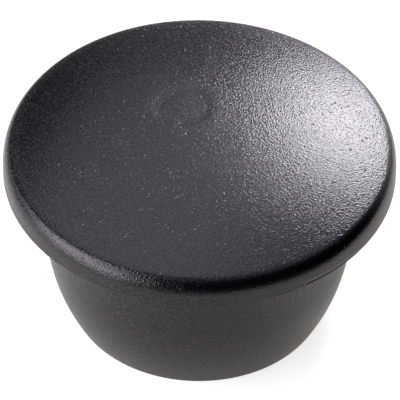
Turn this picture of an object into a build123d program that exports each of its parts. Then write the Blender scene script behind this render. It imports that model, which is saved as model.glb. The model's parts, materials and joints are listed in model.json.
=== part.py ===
from build123d import *
from math import asin, cos, degrees, radians, sin, sqrt, tan
import os

# Push-in plug for a round panel hole, moulded in one piece in soft polyethylene.
# Millimetres, +Z up. The origin is the middle of the open mouth that the plug stands on.
# The plug is one section turned about Z. Section points are (radius, height).

# What the plug closes
hole_diameter = 19.0
interference = 0.2          # the shank is this much larger across than the hole

# Head. Its flange keeps a sharp lower edge, where the mould parts.
head_diameter = 24.0
edge_thickness = 1.45       # at the head's edge, before it is rounded
dome_rise = 1.2             # from there to the top of the dome
upright_height = 0.43       # straight part of the edge, above the flange's underside
flank_radius = 1.8          # curve that leans the edge inwards above its straight part
shoulder_radius = 0.5       # between that curve and the dome

# Shank, outside
shank_length = 10.9
land_length = 2.4           # straight band under the flange that seals in the hole
taper_length = 2.5          # cone under the land
taper_angle = 2.5           # of that cone's side, in degrees
belly_radius = 14.7         # curve that takes the wall in to the mouth
mouth_chamfer = 0.15

# Hollow, left by a core with a flat end
wall = 1.2
roof_thickness = 1.9        # in the middle, under the top of the dome
root_chamfer = 0.5          # between the wall and the roof

# Stub that the moulding gate leaves in the middle of the roof
gate_diameter = 1.1
gate_tip_diameter = 0.9
gate_drop = 0.35

# Worked out from the above
head_radius = head_diameter / 2
dome_radius = (head_radius**2 + dome_rise**2) / (2 * dome_rise)
flange_z = shank_length
upright_top_z = flange_z + upright_height
apex_z = flange_z + edge_thickness + dome_rise
roof_z = apex_z - roof_thickness
land_radius = (hole_diameter + interference) / 2
land_bottom_z = flange_z - land_length
core_radius = land_radius - wall
taper = radians(taper_angle)
belly_top_z = land_bottom_z - taper_length
belly_top_radius = land_radius - taper_length * tan(taper)
belly_centre = (belly_top_radius - belly_radius * cos(taper), belly_top_z + belly_radius * sin(taper))


def dome_point(radius):
    return (radius, apex_z - dome_radius + sqrt(dome_radius**2 - radius**2))


def belly_arc(inset):
    """Curve of the shank wall from its taper down to the mouth, moved inwards by inset."""
    radius = belly_radius - inset
    mouth_angle = degrees(asin(belly_centre[1] / radius))
    return CenterArc(belly_centre, radius, -taper_angle, taper_angle - mouth_angle)


def shoulder_corner():
    """Angle round the flank at which it meets the dome, and the radius there."""
    angle = 0
    for _ in range(30):
        radius = head_radius - flank_radius * (1 - cos(angle))
        angle = asin((dome_point(radius)[1] - upright_top_z) / flank_radius)
    return angle, radius


def outside():
    """Dome, flank, upright edge, flat underside of the flange, land, taper and belly, from the top down."""
    angle, dome_end = shoulder_corner()
    dome = ThreePointArc(dome_point(0), dome_point(dome_end / 2), dome_point(dome_end))
    flank = CenterArc((head_radius - flank_radius, upright_top_z), flank_radius, 0, degrees(angle))
    belly = belly_arc(0)
    steps = Polyline(
        (head_radius, upright_top_z),
        (head_radius, flange_z),
        (land_radius, flange_z),
        (land_radius, land_bottom_z),
        belly @ 0,
    )
    return [dome, flank, steps, belly]


def inside():
    """Hollow with an even wall and a flat roof that carries the gate stub, from the mouth up."""
    belly = belly_arc(wall)
    stub_z = roof_z - gate_drop
    steps = Polyline(
        belly @ 0,
        (core_radius, land_bottom_z),
        (core_radius, roof_z),
        (gate_diameter / 2, roof_z),
        (gate_tip_diameter / 2, stub_z),
        (0, stub_z),
    )
    return [belly, steps]


def corner(section, point):
    """The section's corner at this point."""
    return section.vertices().sort_by_distance(Vector(*point))[0]


def plug_section():
    outer = outside()
    inner = inside()
    mouth_outer = outer[-1] @ 1
    mouth_inner = inner[0] @ 1
    mouth = Line(mouth_outer, mouth_inner)
    axis = Line(inner[-1] @ 1, outer[0] @ 0)
    section = make_face([*outer, mouth, *inner, axis])
    section = fillet(corner(section, outer[0] @ 1), shoulder_radius)
    section = chamfer(corner(section, mouth_outer), mouth_chamfer)
    return chamfer(corner(section, (core_radius, roof_z)), root_chamfer)


def hole_plug():
    return revolve(Plane.XZ * plug_section(), axis=Axis.Z)


os.makedirs("parts", exist_ok=True)
export_step(hole_plug(), "parts/hole_plug.step")
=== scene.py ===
import json
import math
from types import SimpleNamespace

import bpy
from mathutils import Matrix, Vector


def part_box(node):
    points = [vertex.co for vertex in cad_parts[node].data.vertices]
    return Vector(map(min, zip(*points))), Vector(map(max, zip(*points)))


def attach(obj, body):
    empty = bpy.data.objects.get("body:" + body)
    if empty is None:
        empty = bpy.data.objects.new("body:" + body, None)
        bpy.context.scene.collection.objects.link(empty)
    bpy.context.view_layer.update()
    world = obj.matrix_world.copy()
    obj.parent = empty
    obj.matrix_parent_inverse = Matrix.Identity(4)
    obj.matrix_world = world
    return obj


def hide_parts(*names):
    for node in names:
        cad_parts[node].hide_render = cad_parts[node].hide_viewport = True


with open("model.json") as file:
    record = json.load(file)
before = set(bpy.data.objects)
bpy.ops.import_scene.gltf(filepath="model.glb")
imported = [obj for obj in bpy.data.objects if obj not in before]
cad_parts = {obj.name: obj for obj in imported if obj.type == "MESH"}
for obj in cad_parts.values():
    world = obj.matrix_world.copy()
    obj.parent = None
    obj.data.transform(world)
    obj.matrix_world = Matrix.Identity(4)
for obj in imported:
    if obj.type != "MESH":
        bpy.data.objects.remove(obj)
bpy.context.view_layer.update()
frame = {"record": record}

# Lengths are in metres and angles are written in degrees. +Z is up and the plug stands on its open mouth.
MM = 0.001

# ---- Sizes of the plug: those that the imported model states, then the rest of its section ----
_, box_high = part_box("hole_plug")
mounts = {mount["name"]: mount for mount in frame["record"]["mounts"]}
HEAD_RADIUS = box_high.x
APEX_Z = box_high.z
LAND_RADIUS = mounts["sealing_land"]["dims"]["r_mm"] * MM
LAND_LENGTH = mounts["sealing_land"]["dims"]["length_mm"] * MM
FLANGE_Z = mounts["flange_seat"]["pos_m"][2]

EDGE_THICKNESS = 1.45 * MM
# The underside of the head slopes down to its edge by this, and springs flat on a sheet
EDGE_DROOP = 0.36 * MM
RIM_WIDTH = 0.6 * MM
RIM_HEIGHT = 1.2 * MM
TAPER_LENGTH = 2.5 * MM
TAPER_ANGLE = math.radians(2.5)
BELLY_RADIUS = 14.7 * MM
WALL = 1.2 * MM
ROOF_THICKNESS = 1.9 * MM
GATE_RADIUS = 0.55 * MM
GATE_TIP_RADIUS = 0.45 * MM
GATE_DROP = 0.35 * MM

# Small roundings that the plain solid leaves out
FLANGE_EDGE_RADIUS = 0.06 * MM
FLANGE_ROOT_RADIUS = 0.1 * MM
MOUTH_EDGE_RADIUS = 0.18 * MM
LIP_EDGE_RADIUS = 0.1 * MM
ROOF_ROOT_RADIUS = 0.5 * MM
GATE_EDGE_RADIUS = 0.06 * MM

# Worked out from the above
EDGE_TOP_Z = FLANGE_Z + EDGE_THICKNESS
DOME_RISE = APEX_Z - EDGE_TOP_Z
DOME_RADIUS = (HEAD_RADIUS**2 + DOME_RISE**2) / (2 * DOME_RISE)
ROOF_Z = APEX_Z - ROOF_THICKNESS
LAND_BOTTOM_Z = FLANGE_Z - LAND_LENGTH
CORE_RADIUS = LAND_RADIUS - WALL
BELLY_TOP_Z = LAND_BOTTOM_Z - TAPER_LENGTH
BELLY_TOP_RADIUS = LAND_RADIUS - TAPER_LENGTH * math.tan(TAPER_ANGLE)
BELLY_CENTRE_R = BELLY_TOP_RADIUS - BELLY_RADIUS * math.cos(TAPER_ANGLE)
BELLY_CENTRE_Z = BELLY_TOP_Z + BELLY_RADIUS * math.sin(TAPER_ANGLE)

# A fine open seam round part of the edge's foot, by angle from +X. It is deepest where it starts
SEAM_Z = FLANGE_Z - EDGE_DROOP + 0.13 * MM
SEAM_HALF_WIDTH = 0.06 * MM
SEAM_FINE_DEPTH = 0.03 * MM
SEAM_EXTRA_DEPTH = 0.05 * MM
SEAM_START = math.radians(-56.8)
SEAM_DEEP_END = math.radians(-53)
SEAM_END = math.radians(-22)
SEAM_INNER_RADIUS = 11.5 * MM
SEAM_STEPS = (1, 0.5, 0, -0.5, -1)

# How finely the plug is meshed
ROUND_SEGMENTS = 320
SECTION_STEP = 0.3 * MM
LONGEST_RUN = 1.2 * SECTION_STEP
CORNER_STEPS = 5
RIM_STEPS = 18
RIM_FIT_ROUNDS = 30
WELD_DISTANCE = 1e-7


# ---- The plug's section ----
def dome_z(radius):
    return APEX_Z - DOME_RADIUS + math.sqrt(DOME_RADIUS**2 - radius**2)


def rim_points():
    """Quarter ellipse that rounds the dome over into the side of the head, tangent to both."""
    share = 0
    for _ in range(RIM_FIT_ROUNDS):
        radius = HEAD_RADIUS - RIM_WIDTH * (1 - math.sin(share))
        tilt = math.asin(radius / DOME_RADIUS)
        share = math.atan(math.tan(tilt) * RIM_WIDTH / RIM_HEIGHT)
    base = dome_z(radius) - RIM_HEIGHT * math.cos(share)
    turns = [share + (math.pi / 2 - share) * i / RIM_STEPS for i in range(RIM_STEPS + 1)]
    centre = HEAD_RADIUS - RIM_WIDTH
    return [(centre + RIM_WIDTH * math.sin(a), base + RIM_HEIGHT * math.cos(a)) for a in turns]


def belly_points(inset):
    """Points of the curved wall from its taper down to the mouth, moved inwards by inset."""
    radius = BELLY_RADIUS - inset
    start = TAPER_ANGLE
    end = math.asin(BELLY_CENTRE_Z / radius)
    count = math.ceil(radius * (end - start) / SECTION_STEP)
    angles = [start + (end - start) * i / count for i in range(count + 1)]
    centre_r, centre_z = BELLY_CENTRE_R, BELLY_CENTRE_Z
    return [(centre_r + radius * math.cos(a), centre_z - radius * math.sin(a)) for a in angles]


def corner_arc(before, corner, after, radius, steps):
    """Points of the arc that rounds a corner between two straight runs."""
    to_before = (Vector(before) - Vector(corner)).normalized()
    to_after = (Vector(after) - Vector(corner)).normalized()
    half = to_before.angle(to_after) / 2
    middle = (to_before + to_after).normalized()
    centre = Vector(corner) + middle * (radius / math.sin(half))
    start = Vector(corner) + to_before * (radius / math.tan(half)) - centre
    end = Vector(corner) + to_after * (radius / math.tan(half)) - centre
    sweep = start.angle(end)
    points = []
    for i in range(steps + 1):
        share = i / steps
        blend = (math.sin((1 - share) * sweep) * start + math.sin(share * sweep) * end) / math.sin(sweep)
        points.append(tuple(centre + blend))
    return points


def plug_corners():
    """The section from the dome's middle, round the outside and the hollow, to the gate stub's tip."""
    dome_count = math.ceil(HEAD_RADIUS / SECTION_STEP)
    dome = [HEAD_RADIUS * i / dome_count for i in range(dome_count)]
    dome = [(r, dome_z(r), 0) for r in dome if r < HEAD_RADIUS - RIM_WIDTH]
    outer_belly = belly_points(0)
    inner_belly = belly_points(WALL)[::-1]
    return [
        *dome,
        *((r, z, 0) for r, z in rim_points()),
        *((HEAD_RADIUS, SEAM_Z + step * SEAM_HALF_WIDTH, 0) for step in SEAM_STEPS),
        (HEAD_RADIUS, FLANGE_Z - EDGE_DROOP, FLANGE_EDGE_RADIUS),
        (LAND_RADIUS, FLANGE_Z, FLANGE_ROOT_RADIUS),
        (LAND_RADIUS, LAND_BOTTOM_Z, 0),
        *((r, z, 0) for r, z in outer_belly[:-1]),
        (*outer_belly[-1], MOUTH_EDGE_RADIUS),
        (*inner_belly[0], LIP_EDGE_RADIUS),
        *((r, z, 0) for r, z in inner_belly[1:]),
        (CORE_RADIUS, LAND_BOTTOM_Z, 0),
        (CORE_RADIUS, ROOF_Z, ROOF_ROOT_RADIUS),
        (GATE_RADIUS, ROOF_Z, GATE_EDGE_RADIUS),
        (GATE_TIP_RADIUS, ROOF_Z - GATE_DROP, GATE_EDGE_RADIUS),
        (0, ROOF_Z - GATE_DROP, 0),
    ]


def between(start, end, share):
    """The point that lies this share of the way from start to end."""
    return tuple(a + (b - a) * share for a, b in zip(start, end))


def section_points():
    """The section with its corners rounded and its long runs divided."""
    corners = plug_corners()
    points = []
    for i, (r, z, radius) in enumerate(corners):
        if radius == 0:
            points.append((r, z))
            continue
        points += corner_arc(corners[i - 1][:2], (r, z), corners[i + 1][:2], radius, CORNER_STEPS)
    divided = [points[0]]
    for start, end in zip(points, points[1:]):
        count = max(1, math.ceil(math.dist(start, end) / LONGEST_RUN))
        divided += [between(start, end, i / count) for i in range(1, count + 1)]
    return divided


# ---- Node trees ----
class Tree:
    """Adds nodes to a tree and joins them by socket."""

    def __init__(self, tree):
        self.tree = tree

    def add(self, kind, inputs=None, **settings):
        node = self.tree.nodes.new(kind)
        for name, value in settings.items():
            setattr(node, name, value)
        for name, value in (inputs or {}).items():
            socket = node.inputs[name]
            if isinstance(value, bpy.types.NodeSocket):
                self.tree.links.new(value, socket)
            else:
                socket.default_value = value
        return node

    def math(self, operation, *values):
        return self.add("ShaderNodeMath", dict(enumerate(values)), operation=operation).outputs[0]

    def vector(self, operation, *values):
        node = self.add("ShaderNodeVectorMath", dict(enumerate(values)), operation=operation)
        return node.outputs["Value" if operation in ("LENGTH", "DISTANCE", "DOT_PRODUCT") else "Vector"]

    def scaled(self, vector, by):
        """The vector, or the colour, multiplied by one number."""
        return self.add("ShaderNodeVectorMath", {0: vector, "Scale": by}, operation="SCALE").outputs[0]

    def parts(self, vector):
        return self.add("ShaderNodeSeparateXYZ", {0: vector}).outputs

    def step(self, value, low, high):
        """0 below low, 1 above high and smooth between them. With low above high, the other way round."""
        inputs = {"Value": value, "From Min": low, "From Max": high}
        node = self.add("ShaderNodeMapRange", inputs, interpolation_type="SMOOTHSTEP", clamp=True)
        return node.outputs["Result"]


# ---- The plug ----
SOCKET_KINDS = {int: "NodeSocketInt", float: "NodeSocketFloat", tuple: "NodeSocketVector"}


def plug_sizes():
    """What each named input of the plug's tree is set to."""
    sink_x, sink_y = SINK_PLACE
    return {
        "Segments": ROUND_SEGMENTS,
        "Weld Distance": WELD_DISTANCE,
        "Sink Centre": (sink_x, sink_y, dome_z(math.hypot(sink_x, sink_y))),
        "Sink Radius": SINK_RADIUS,
        "Sink Depth": SINK_DEPTH,
        "Wave Size": WAVE_SIZE,
        "Wave Depth": WAVE_DEPTH,
        "Seam Z": SEAM_Z,
        "Seam Half Width": SEAM_HALF_WIDTH,
        "Seam Fine Depth": SEAM_FINE_DEPTH,
        "Seam Extra Depth": SEAM_EXTRA_DEPTH,
        "Seam Start": SEAM_START,
        "Seam Deep End": SEAM_DEEP_END,
        "Seam End": SEAM_END,
        "Seam Inner Radius": SEAM_INNER_RADIUS,
    }


def turned_section(t, given):
    """The section line turned about Z, with the points that fall on the axis welded into one."""
    section = given["Section"]
    size = t.add("GeometryNodeAttributeDomainSize", {"Geometry": section}, component="MESH")
    count = size.outputs["Point Count"]
    around = t.math("ADD", given["Segments"], 1.0)
    sizes = {"Size X": 1.0, "Size Y": 1.0, "Vertices X": around, "Vertices Y": count}
    grid = t.add("GeometryNodeMeshGrid", sizes)
    place = t.parts(t.add("GeometryNodeInputPosition").outputs[0])
    turn = t.math("MULTIPLY", t.math("ADD", place["X"], 0.5), -2 * math.pi)
    last = t.math("SUBTRACT", count, 1.0)
    along = t.math("ROUND", t.math("MULTIPLY", t.math("ADD", place["Y"], 0.5), last))
    section_place = t.add("GeometryNodeInputPosition").outputs[0]
    picked = t.add(
        "GeometryNodeSampleIndex",
        {"Geometry": section, "Value": section_place, "Index": along},
        data_type="FLOAT_VECTOR",
        domain="POINT",
    )
    point = t.parts(picked.outputs["Value"])
    x = t.math("MULTIPLY", point["X"], t.math("COSINE", turn))
    y = t.math("MULTIPLY", point["X"], t.math("SINE", turn))
    spun = t.add("ShaderNodeCombineXYZ", {"X": x, "Y": y, "Z": point["Z"]}).outputs[0]
    shell = t.add("GeometryNodeSetPosition", {"Geometry": grid.outputs["Mesh"], "Position": spun})
    weld = {"Geometry": shell.outputs["Geometry"], "Distance": given["Weld Distance"]}
    return t.add("GeometryNodeMergeByDistance", weld).outputs["Geometry"]


def sink_depth(t, given, here):
    """Depth of the sink at a point: flat in its middle, and rising over the outer part of its radius."""
    share = t.math("DIVIDE", t.vector("DISTANCE", here, given["Sink Centre"]), given["Sink Radius"])
    return t.math("MULTIPLY", t.step(share, 1.0, SINK_FLAT_SHARE), given["Sink Depth"])


def wave_depth(t, given, here):
    """Depth of the slow unevenness at a point."""
    size = t.add("ShaderNodeCombineXYZ", dict.fromkeys("XYZ", given["Wave Size"])).outputs[0]
    inputs = {"Vector": t.vector("DIVIDE", here, size), "Scale": 1.0, "Detail": 1.0}
    wave = t.add("ShaderNodeTexNoise", inputs, noise_dimensions="3D").outputs[0]
    return t.math("MULTIPLY", wave, given["Wave Depth"])


def seam_depth(t, given, here):
    """Depth of the open seam at a point: deepest along its middle and at its start, then fading out."""
    place = t.parts(here)
    angle = t.math("ARCTAN2", place["Y"], place["X"])
    off_middle = t.math("DIVIDE", t.math("SUBTRACT", place["Z"], given["Seam Z"]), given["Seam Half Width"])
    across = t.math("MAXIMUM", t.math("SUBTRACT", 1.0, t.math("ABSOLUTE", off_middle)), 0.0)
    fading = t.step(angle, given["Seam End"], given["Seam Deep End"])
    fine = t.math("MULTIPLY", fading, given["Seam Fine Depth"])
    deep = t.math("LESS_THAN", angle, given["Seam Deep End"])
    depth = t.math("MULTIPLY_ADD", deep, given["Seam Extra Depth"], fine)
    past_start = t.math("GREATER_THAN", angle, given["Seam Start"])
    from_axis = t.vector("LENGTH", t.vector("MULTIPLY", here, (1, 1, 0)))
    outside = t.math("GREATER_THAN", from_axis, given["Seam Inner Radius"])
    return t.math("MULTIPLY", t.math("MULTIPLY", across, depth), t.math("MULTIPLY", past_start, outside))


def plug_tree(material):
    """Turns a section line about Z and presses the sink, the unevenness and the seam into it."""
    group = bpy.data.node_groups.new("turned_from_section", "GeometryNodeTree")
    group.interface.new_socket(name="Section", in_out="INPUT", socket_type="NodeSocketGeometry")
    for name, value in plug_sizes().items():
        kind = SOCKET_KINDS[type(value)]
        group.interface.new_socket(name=name, in_out="INPUT", socket_type=kind)
    group.interface.new_socket(name="Plug", in_out="OUTPUT", socket_type="NodeSocketGeometry")
    t = Tree(group)
    given = t.add("NodeGroupInput").outputs

    closed = turned_section(t, given)
    here = t.add("GeometryNodeInputPosition").outputs[0]
    inwards = t.math("ADD", sink_depth(t, given, here), wave_depth(t, given, here))
    inwards = t.math("ADD", inwards, seam_depth(t, given, here))
    shift = t.scaled(t.add("GeometryNodeInputNormal").outputs[0], t.math("MULTIPLY", inwards, -1.0))
    pressed = t.add("GeometryNodeSetPosition", {"Geometry": closed, "Offset": shift})
    smooth = t.add("GeometryNodeSetShadeSmooth", {"Geometry": pressed.outputs["Geometry"]})
    real = t.add("GeometryNodeRealizeInstances", {"Geometry": smooth.outputs["Geometry"]})
    painted = t.add("GeometryNodeSetMaterial", {"Geometry": real.outputs["Geometry"], "Material": material})
    t.add("NodeGroupOutput", {"Plug": painted.outputs["Geometry"]})
    return group


def make_plug(material):
    points = section_points()
    line = bpy.data.meshes.new("plug_section")
    line.from_pydata([(r, 0, z) for r, z in points], [(i, i + 1) for i in range(len(points) - 1)], [])
    source = bpy.data.objects.new("plug_section", line)
    bpy.context.scene.collection.objects.link(source)
    modifier = source.modifiers.new("turn", "NODES")
    modifier.node_group = plug_tree(material)
    sizes = plug_sizes()
    for item in modifier.node_group.interface.items_tree:
        if item.name in sizes:
            modifier[item.identifier] = sizes[item.name]
    evaluated = source.evaluated_get(bpy.context.evaluated_depsgraph_get())
    mesh = bpy.data.meshes.new_from_object(evaluated)
    bpy.data.objects.remove(source)
    mesh.name = "plug"
    plug = bpy.data.objects.new("plug", mesh)
    bpy.context.scene.collection.objects.link(plug)
    return plug


# ---- Surface marks and finish ----
# A shallow sink opposite the gate, and the slow unevenness that cooling leaves
SINK_PLACE = (-1.1 * MM, 2.4 * MM)
SINK_RADIUS = 2.1 * MM
SINK_FLAT_SHARE = 0.7
SINK_DEPTH = 0.03 * MM
WAVE_SIZE = 4.0 * MM
WAVE_DEPTH = 0.012 * MM

PLUG_COLOR = (0.0032, 0.0032, 0.0036)
PLUG_IOR = 1.5
HEAD_ROUGHNESS = 0.18
SHANK_ROUGHNESS = 0.34
BURNISH_GLOSS = 0.1
MOTTLE_SIZE = 1.2 * MM
MOTTLE_ROUGHNESS = 0.03

# The head's grain. Its turn is in radians. From here on, depths and heights of the bump are in millimetres
GRAIN_TURN = (0.61, 0.43, 0.87)
GRAIN_SIZE = 0.09 * MM
GRAIN_DEPTH = 0.0075
PIT_SIZE = 0.12 * MM
PIT_DEPTH = 0.0075
PIMPLE_SPACING = 0.4 * MM
PIMPLE_RADIUS = 0.09 * MM
PIMPLE_HEIGHT = 0.012
PIMPLE_SHARE = 0.35
# It is worn flatter towards the dome's left side, and is coarser on the left part of the rim
WORN_GRAIN = 0.45
RIM_GRAIN = 2.0

# Satin and draw lines on the shank. Leaving the mould has scuffed the lines deeper high on the right
SATIN_SIZE = 0.13 * MM
SATIN_DEPTH = 0.012
DRAW_LINE_SIZE = 0.16 * MM
DRAW_LINE_STRETCH = 0.04
DRAW_LINE_DEPTH = 0.003
SCUFF_DEPTH = 0.018
STREAK_DUST = 0.09
STREAK_RANGE = (0.45, 0.65)

# Dust: a thin cloudy veil. Pale specks, partly dust and partly painted glints, thickest round a spot of the
# head
DUST_GLINT_COLOR = (0.5, 0.5, 0.52)
DUST_SIZE = 0.13 * MM
VEIL_RANGE = (0.4, 0.75)
VEIL_ON_TOP = 0.05
VEIL_ON_SHANK = 0.07
SPECKS_ON_SHANK = 0.1
SPECK_SPACING = 0.2 * MM
SPECK_RADIUS = 0.08 * MM
SPECK_AMOUNT = 0.58
SPECK_CONTRAST = 3.0
BUSY_SIZE = 1.5 * MM
BUSY_RANGE = (0.35, 0.65)
BUSY_SPOT = (-1.5 * MM, -2.5 * MM, 0)
BUSY_REACH = (8.5 * MM, 4 * MM)
QUIET_SHARE = 0.05

# Where each finish gives way to the next: the coordinate at which a zone begins, and at which it is full
HEAD_ZONE_Z = (FLANGE_Z + 0.3 * MM, EDGE_TOP_Z - 0.3 * MM)
TOP_ZONE_Z = (EDGE_TOP_Z - 0.3 * MM, EDGE_TOP_Z + 0.2 * MM)
UNWORN_X = (-11 * MM, -3 * MM)
RIM_RADII = (HEAD_RADIUS - 1.3 * MM, HEAD_RADIUS - 0.4 * MM)
LEFT_RIM_X = (5 * MM, -2 * MM)
SCUFFED_X = (1.5 * MM, 6 * MM)
SCUFFED_Z = (5 * MM, 8 * MM)

# Handling scratches on the head: the two ends, half the width and the depth, in millimetres,
# how much pale colour they hold, partly dust and partly painted glints, and how far they burnish the grain
# away
SCRATCHES = [
    ((-3.05, 3.4), (-3.4, 1.6), 0.07, 0.003, 0.05, 0.0),
    ((-3.4, 1.6), (-3.35, 0.2), 0.06, 0.003, 0.04, 0.0),
    ((-3.35, 0.2), (-3.1, -0.8), 0.06, 0.003, 0.03, 0.0),
    ((-2.35, 1.9), (-2.15, 0.7), 0.13, 0.0, 0.0, 0.6),
    ((-2.5, 1.0), (-2.35, -0.4), 0.05, 0.0, 0.05, 0.0),
    ((-2.5, 2.4), (-1.85, 3.2), 0.08, 0.0, 0.0, 1.0),
    ((-1.85, 3.2), (-1.6, 3.6), 0.13, 0.0, 0.0, 1.0),
    ((-3.9, 4.6), (-0.9, 6.0), 0.06, 0.002, 0.0, 0.0),
    ((-6.8, -5.8), (-5.0, -4.8), 0.05, 0.002, 0.03, 0.0),
    ((-3.7, -6.45), (-2.2, -6.3), 0.09, 0.002, 0.16, 0.0),
    ((-1.5, -5.6), (-0.75, -5.15), 0.11, 0.002, 0.14, 0.0),
    ((1.05, -11.1), (1.13, -11.6), 0.07, 0.004, 0.1, 0.0),
]
# The pale dust and painted glints in a scratch are broken up into stretches of about this length
BROKEN_SIZE = 0.22 * MM
BROKEN_RANGE = (0.4, 0.6)


def new_material(name):
    material = bpy.data.materials.new(name)
    material.use_nodes = True
    material.node_tree.nodes.clear()
    return material, Tree(material.node_tree)


def noise(t, place, size, detail=0.0, roughness=0.5):
    """Soft noise between 0 and 1 with bumps of about this size."""
    inputs = {"Vector": place, "Scale": 1 / size, "Detail": detail, "Roughness": roughness}
    return t.add("ShaderNodeTexNoise", inputs, noise_dimensions="3D").outputs[0]


def cells(t, place, spacing):
    """Random cells: the distance to a cell's middle, as a share of the spacing, and the cell's colour."""
    return t.add("ShaderNodeTexVoronoi", {"Vector": place, "Scale": 1 / spacing}, feature="F1").outputs


def pits(t, place):
    """Height within the small round pits that spark erosion leaves, 0 in the middle of each."""
    distance = cells(t, place, PIT_SIZE)["Distance"]
    return t.math("MULTIPLY", distance, distance)


def pimples(t, place):
    """Height of sparse round pimples, from 0 between them to 1 on their tops."""
    found = cells(t, place, PIMPLE_SPACING)
    chance = t.add("ShaderNodeSeparateColor", {0: found["Color"]}).outputs[0]
    chosen = t.math("LESS_THAN", chance, PIMPLE_SHARE)
    top = t.step(found["Distance"], PIMPLE_RADIUS / PIMPLE_SPACING, 0.0)
    return t.math("MULTIPLY", top, chosen)


def specks(t, at):
    """How pale the sparse specks are: partly dust, partly painted glints. Thickest in patches round one
    spot.
    """
    busy = t.step(noise(t, at.tilted, BUSY_SIZE, 1.0), *BUSY_RANGE)
    from_spot = t.vector("DISTANCE", at.flat, BUSY_SPOT)
    near = t.math("MULTIPLY_ADD", t.step(from_spot, *BUSY_REACH), 1 - QUIET_SHARE, QUIET_SHARE)
    found = cells(t, at.tilted, SPECK_SPACING)
    chance = t.add("ShaderNodeSeparateColor", {0: found["Color"]}).outputs
    chosen = t.math("LESS_THAN", chance[0], t.math("MULTIPLY", busy, near))
    speck = t.math("MULTIPLY", t.step(found["Distance"], SPECK_RADIUS / SPECK_SPACING, 0.0), chosen)
    bright = t.math("MULTIPLY", t.math("POWER", chance[1], SPECK_CONTRAST), SPECK_AMOUNT)
    return t.math("MULTIPLY", speck, bright)


def scratches(t, place):
    """Depth of all scratches in millimetres, their dust and painted glints, their burnish, from straight
    above.
    """
    flat = t.vector("MULTIPLY", place, (1 / MM, 1 / MM, 0))
    broken = t.step(noise(t, place, BROKEN_SIZE), *BROKEN_RANGE)
    deep, pale, worn = 0.0, 0.0, 0.0
    for start, end, half_width, depth, dust, burnish in SCRATCHES:
        first = Vector((*start, 0))
        run = Vector((*end, 0)) - first
        from_first = t.vector("SUBTRACT", flat, first)
        share = t.math("DIVIDE", t.vector("DOT_PRODUCT", from_first, run), run.length_squared)
        held = t.add("ShaderNodeClamp", {"Value": share}).outputs[0]
        away = t.vector("DISTANCE", from_first, t.scaled(run, held))
        groove = t.step(away, half_width, 0.0)
        deep = t.math("MULTIPLY_ADD", groove, depth, deep)
        # A scratch's pale colour is partly dust and partly painted glints
        pale = t.math("MULTIPLY_ADD", t.math("MULTIPLY", groove, broken), dust, pale)
        worn = t.math("MULTIPLY_ADD", groove, burnish, worn)
    return SimpleNamespace(depth=deep, dust=pale, burnish=worn)


def find_zones(t):
    """The coordinates that the patterns follow, and how far a point lies in each zone, from 0 to 1."""
    place = t.add("ShaderNodeTexCoord").outputs["Object"]
    x, height = t.parts(place)["X"], t.parts(place)["Z"]
    # The noise is turned so that its lattice doesn't line up with the head
    askew = {"Vector": place, "Rotation": GRAIN_TURN}
    high_right = t.math("MULTIPLY", t.step(x, *SCUFFED_X), t.step(height, *SCUFFED_Z))
    below_head = t.math("LESS_THAN", height, FLANGE_Z - EDGE_DROOP)
    head = t.step(height, *HEAD_ZONE_Z)
    return SimpleNamespace(
        place=place,
        tilted=t.add("ShaderNodeVectorRotate", askew, rotation_type="EULER_XYZ").outputs[0],
        upright=t.vector("MULTIPLY", place, (1, 1, DRAW_LINE_STRETCH)),
        flat=t.vector("MULTIPLY", place, (1, 1, 0)),
        x=x,
        head=head,
        top=t.step(height, *TOP_ZONE_Z),
        shank=t.math("SUBTRACT", 1.0, head),
        scuffed=t.math("MULTIPLY", high_right, below_head),
    )


def head_relief(t, at, marks):
    """Height of the head's eroded grain, less where it is worn or burnished, with the scratches cut in."""
    grain = t.math("MULTIPLY", noise(t, at.tilted, GRAIN_SIZE), GRAIN_DEPTH)
    grain = t.math("ADD", grain, t.math("MULTIPLY", pits(t, at.tilted), PIT_DEPTH))
    grain = t.math("ADD", grain, t.math("MULTIPLY", pimples(t, at.tilted), PIMPLE_HEIGHT))
    unworn = t.math("MULTIPLY_ADD", t.step(at.x, *UNWORN_X), 1 - WORN_GRAIN, WORN_GRAIN)
    on_rim = t.step(t.vector("LENGTH", at.flat), *RIM_RADII)
    left_rim = t.math("MULTIPLY", on_rim, t.step(at.x, *LEFT_RIM_X))
    unworn = t.math("MAXIMUM", unworn, t.math("MULTIPLY", left_rim, RIM_GRAIN))
    kept = t.math("MULTIPLY", unworn, t.math("SUBTRACT", 1.0, marks.burnish))
    return t.math("SUBTRACT", t.math("MULTIPLY", grain, kept), marks.depth)


def shank_relief(t, at):
    """Height of the shank's satin and of the draw lines that run up it."""
    satin = t.math("MULTIPLY", noise(t, at.place, SATIN_SIZE, 0.5), SATIN_DEPTH)
    line_depth = t.math("MULTIPLY_ADD", at.scuffed, SCUFF_DEPTH, DRAW_LINE_DEPTH)
    return t.math("ADD", satin, t.math("MULTIPLY", noise(t, at.upright, DRAW_LINE_SIZE, 1.0), line_depth))


def dust_glint_share(t, at, marks):
    """Share of pale colour: a dust veil, scuff dust, and specks and scratch marks that are partly painted
    glints.
    """
    film = t.math("MULTIPLY_ADD", at.top, VEIL_ON_TOP, t.math("MULTIPLY", at.shank, VEIL_ON_SHANK))
    veil = t.step(noise(t, at.tilted, DUST_SIZE, 1.0), *VEIL_RANGE)
    dotted = t.math("MULTIPLY_ADD", at.shank, SPECKS_ON_SHANK, at.top)
    dust_and_glints = t.math("MULTIPLY_ADD", veil, film, t.math("MULTIPLY", specks(t, at), dotted))
    dust_and_glints = t.math("MULTIPLY_ADD", marks.dust, at.top, dust_and_glints)
    streaks = t.step(noise(t, at.upright, DRAW_LINE_SIZE, 1.0), *STREAK_RANGE)
    return t.math("MULTIPLY_ADD", t.math("MULTIPLY", streaks, at.scuffed), STREAK_DUST, dust_and_glints)


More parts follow.
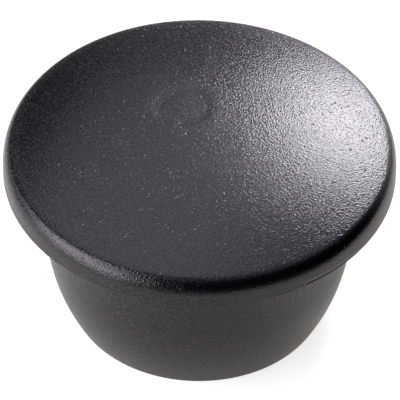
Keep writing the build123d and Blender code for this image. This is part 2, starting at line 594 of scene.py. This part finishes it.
def roughness(t, at, marks):
    """Smoother on the head than on the shank, mottled, and glossier where a stroke has burnished it."""
    ends = {"Value": at.head, "To Min": SHANK_ROUGHNESS, "To Max": HEAD_ROUGHNESS}
    rough = t.add("ShaderNodeMapRange", ends).outputs["Result"]
    mottle = noise(t, at.place, MOTTLE_SIZE, 2.0)
    mottle = t.math("MULTIPLY_ADD", mottle, 2 * MOTTLE_ROUGHNESS, -MOTTLE_ROUGHNESS)
    return t.math("MULTIPLY_ADD", marks.burnish, -BURNISH_GLOSS, t.math("ADD", rough, mottle))


def black_polyethylene():
    """Black moulded plastic: eroded grain on the head, satin with draw lines on the shank."""
    material, t = new_material("black_polyethylene")
    at = find_zones(t)
    marks = scratches(t, at.place)
    head_height = t.math("MULTIPLY", head_relief(t, at, marks), at.head)
    shank_height = t.math("MULTIPLY", shank_relief(t, at), at.shank)
    relief = t.math("ADD", head_height, shank_height)
    bump = t.add("ShaderNodeBump", {"Strength": 1.0, "Distance": MM, "Height": relief})
    # The pale colour added to the black is dust, and in specks and scratches partly painted glints
    finish = {
        "Base Color": t.vector("ADD", t.scaled(DUST_GLINT_COLOR, dust_glint_share(t, at, marks)), PLUG_COLOR),
        "Roughness": roughness(t, at, marks),
        "IOR": PLUG_IOR,
        "Normal": bump.outputs["Normal"],
    }
    surface = t.add("ShaderNodeBsdfPrincipled", finish)
    t.add("ShaderNodeOutputMaterial", {"Surface": surface.outputs[0]})
    return material


# ---- Floor, lights and camera ----
FLOOR_CORNERS = [(-0.05, -0.03), (0.015, -0.03), (0.03, -0.01), (0.05, 0.02), (0.05, 0.09), (-0.05, 0.09)]
FLOOR_COLOR = (0.6, 0.6, 0.57, 1)
FLOOR_TINT = (1.04, 1.0, 0.92)
GLOW_SEEN = 0.78
# Painted shade: the floor reflects dimmer from straight in front of the plug than from its sides and behind
# it
SHADED_GLOW_FRONT = 0.39
GLOW_SIDES = 0.5
SIDES_TOWARDS_Y = (-0.95, -0.3)


def floor_material():
    """Pale floor, white to the camera and in reflections, with painted shade in front; keeps the plug's
    shadow.
    """
    material, t = new_material("floor")
    rays = t.add("ShaderNodeLightPath").outputs
    seen = t.math("MULTIPLY", rays["Is Camera Ray"], GLOW_SEEN)
    outwards = t.vector("NORMALIZE", t.add("ShaderNodeTexCoord").outputs["Object"])
    aside = t.step(t.parts(outwards)["Y"], *SIDES_TOWARDS_Y)
    # Painted shade: in reflections the floor glows dimmer straight in front of the plug
    front = t.math("MULTIPLY", t.math("SUBTRACT", 1.0, aside), SHADED_GLOW_FRONT)
    glow = t.math("MULTIPLY_ADD", aside, GLOW_SIDES, front)
    reflected = t.scaled(FLOOR_TINT, t.math("MULTIPLY", rays["Is Glossy Ray"], glow))
    diffuse = t.add("ShaderNodeBsdfDiffuse", {"Color": FLOOR_COLOR})
    emission = t.add("ShaderNodeEmission", {"Color": t.vector("ADD", reflected, seen)})
    both = t.add("ShaderNodeAddShader", {0: diffuse.outputs[0], 1: emission.outputs[0]})
    t.add("ShaderNodeOutputMaterial", {"Surface": both.outputs[0]})
    return material


def make_floor():
    mesh = bpy.data.meshes.new("floor")
    mesh.from_pydata([(x, y, 0) for x, y in FLOOR_CORNERS], [], [range(len(FLOOR_CORNERS))])
    mesh.materials.append(floor_material())
    floor = bpy.data.objects.new("floor", mesh)
    bpy.context.scene.collection.objects.link(floor)


LAMP_DISTANCE = 0.5
LAMP_RED = 1.03
# Each lamp: azimuth, elevation, width, height, spin, how blue its light is and how bright its face is
LAMPS = {
    "key": (17.6, 38, 0.1, 0.18, 27, 1.05, 16.6),
    "key_spill": (20, 10, 0.29, 0.8, 45, 1.14, 1.43),
    "left_panel": (-112, 12, 0.8, 1.0, 28, 1.07, 1.2),
    "left_core": (-114, 9, 0.4, 0.61, 25, 1.07, 3.65),
    "top": (-8, 57, 0.48, 0.24, 60, 1.22, 0.9),
}
SWEEP_LIGHT = 0.78
SWEEP_TOP = 0.45
SWEEP_TOWARDS_Y = (0.2, 0.7)
CEILING_LIGHT = 0.34
CEILING_TINT = (1.03, 1.0, 1.22)
CEILING_TOWARDS_Z = (0.5, 0.95)


def direction(azimuth, elevation):
    """Unit vector. Azimuth 0 is straight behind the plug, and positive is to its right."""
    a, e = math.radians(azimuth), math.radians(elevation)
    return Vector((math.sin(a) * math.cos(e), math.cos(a) * math.cos(e), math.sin(e)))


def soft_box(name, azimuth, elevation, width, height, spin, blue, radiance):
    """Rectangular lamp that faces the plug. Its power comes from how bright its face is."""
    light = bpy.data.lights.new(name, "AREA")
    light.shape = "RECTANGLE"
    light.size = width
    light.size_y = height
    light.energy = radiance * math.pi * width * height
    light.color = (LAMP_RED, 1, blue)
    lamp = bpy.data.objects.new(name, light)
    towards = direction(azimuth, elevation)
    level = Vector((0, 0, 1)).cross(towards).normalized()
    turn = math.radians(spin)
    across = math.cos(turn) * level + math.sin(turn) * towards.cross(level)
    axes = Matrix((across, towards.cross(across), towards)).transposed()
    lamp.matrix_world = Matrix.Translation(towards * LAMP_DISTANCE) @ axes.to_4x4()
    bpy.context.scene.collection.objects.link(lamp)


def make_world():
    """White to the camera. For other rays a pale sweep behind the plug, a dim ceiling and a dark room."""
    world = bpy.data.worlds.new("studio")
    world.use_nodes = True
    world.node_tree.nodes.clear()
    t = Tree(world.node_tree)
    towards = t.parts(t.add("ShaderNodeTexCoord").outputs["Generated"])
    behind = t.step(towards["Y"], *SWEEP_TOWARDS_Y)
    fall = {"Value": t.math("ABSOLUTE", towards["Z"]), "From Min": SWEEP_TOP, "From Max": 0.0}
    low = t.add("ShaderNodeMapRange", fall, clamp=True).outputs["Result"]
    sweep = t.math("MULTIPLY", t.math("MULTIPLY", low, behind), SWEEP_LIGHT)
    ceiling = t.math("MULTIPLY", t.step(towards["Z"], *CEILING_TOWARDS_Z), CEILING_LIGHT)
    lit = t.vector("ADD", t.scaled(CEILING_TINT, ceiling), sweep)
    seen = t.add("ShaderNodeLightPath").outputs["Is Camera Ray"]
    back = t.add("ShaderNodeBackground", {"Color": t.vector("MAXIMUM", lit, seen)})
    t.add("ShaderNodeOutputWorld", {"Surface": back.outputs[0]})
    bpy.context.scene.world = world


CAMERA_TARGET = Vector((0.06 * MM, 0, 7.86 * MM))
CAMERA_DISTANCE = 288 * MM
CAMERA_ELEVATION = math.radians(43.53)
CAMERA_ROLL = math.radians(-0.87)
CAMERA_LENS = 421.7


def make_camera():
    data = bpy.data.cameras.new("camera")
    data.lens = CAMERA_LENS
    data.sensor_width = 36
    data.clip_start = 0.01
    data.clip_end = 10
    camera = bpy.data.objects.new("camera", data)
    ahead = Vector((0, math.cos(CAMERA_ELEVATION), -math.sin(CAMERA_ELEVATION)))
    right = Vector((1, 0, 0))
    up = right.cross(ahead)
    c, s = math.cos(CAMERA_ROLL), math.sin(CAMERA_ROLL)
    axes = Matrix((c * right - s * up, s * right + c * up, -ahead)).transposed()
    camera.matrix_world = Matrix.Translation(CAMERA_TARGET - ahead * CAMERA_DISTANCE) @ axes.to_4x4()
    bpy.context.scene.collection.objects.link(camera)
    bpy.context.scene.camera = camera


make_camera()
make_world()
for lamp_name, lamp_row in LAMPS.items():
    soft_box(lamp_name, *lamp_row)
make_floor()
bpy.context.scene.view_settings.view_transform = "Standard"

plug = make_plug(black_polyethylene())
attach(plug, "root")
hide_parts("hole_plug")
